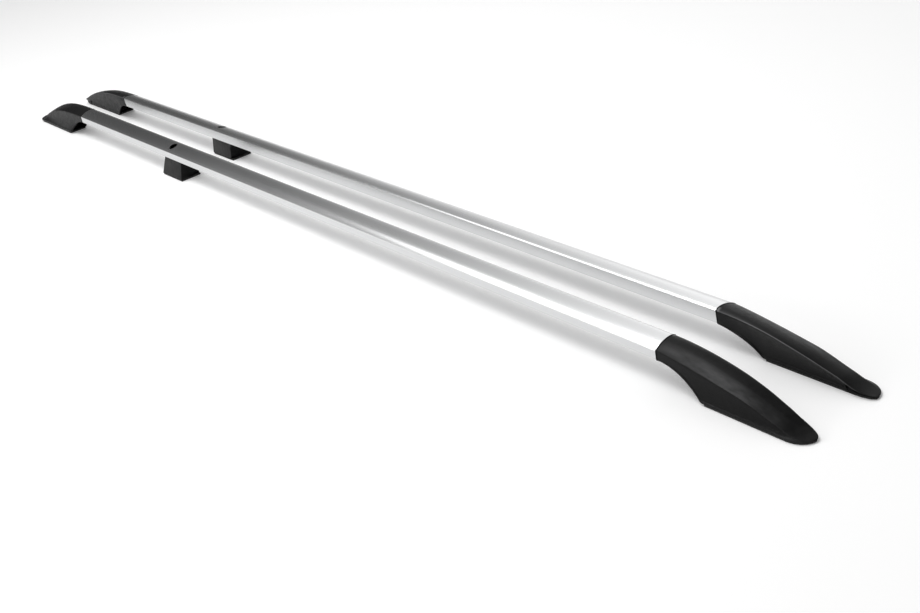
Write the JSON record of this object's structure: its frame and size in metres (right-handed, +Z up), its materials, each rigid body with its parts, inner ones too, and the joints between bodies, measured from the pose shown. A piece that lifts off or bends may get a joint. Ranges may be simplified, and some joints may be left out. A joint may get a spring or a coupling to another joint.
{
  "type": "roof side rail pair",
  "caption": "Pair of aluminium roof side rails with moulded black end feet and a short middle leg under each, screwed down to a car's roof.",
  "frame": {"origin": "on the roof plane, midway along and midway between the two rails", "axes": "+X towards the front of the car along the rails, +Y to the car's left, +Z up"},
  "size_m": [2.179, 0.154, 0.0558],
  "materials": {
    "rail_aluminium": "satin brushed along its length, clear anodised",
    "black_moulding": "matte black with a fine moulded grain",
    "bracket_casting": "cast aluminium with a dull black coat",
    "pad_rubber": "dull black sheet rubber",
    "seal_rubber": "dull black extruded ring",
    "sleeve_steel": "bright zinc plated",
    "screw_steel": "bright zinc plated"
  },
  "bodies": {
    "root": {"right_rail": "rail_aluminium", "right_leg": "black_moulding", "right_leg_sleeve": "sleeve_steel", "right_leg_pad": "pad_rubber", "right_front_foot": "black_moulding", "right_front_bracket": "bracket_casting", "right_front_pad": "pad_rubber", "right_front_seal": "seal_rubber", "right_front_rail_screws": "screw_steel", "right_front_cover_screw": "screw_steel", "right_rear_foot": "black_moulding", "right_rear_bracket": "bracket_casting", "right_rear_pad": "pad_rubber", "right_rear_seal": "seal_rubber", "right_rear_rail_screws": "screw_steel", "right_rear_cover_screw": "screw_steel", "left_rail": "rail_aluminium", "left_leg": "black_moulding", "left_leg_sleeve": "sleeve_steel", "left_leg_pad": "pad_rubber", "left_front_foot": "black_moulding", "left_front_bracket": "bracket_casting", "left_front_pad": "pad_rubber", "left_front_seal": "seal_rubber", "left_front_rail_screws": "screw_steel", "left_front_cover_screw": "screw_steel", "left_rear_foot": "black_moulding", "left_rear_bracket": "bracket_casting", "left_rear_pad": "pad_rubber", "left_rear_seal": "seal_rubber", "left_rear_rail_screws": "screw_steel", "left_rear_cover_screw": "screw_steel"}
  },
  "joints": []
}
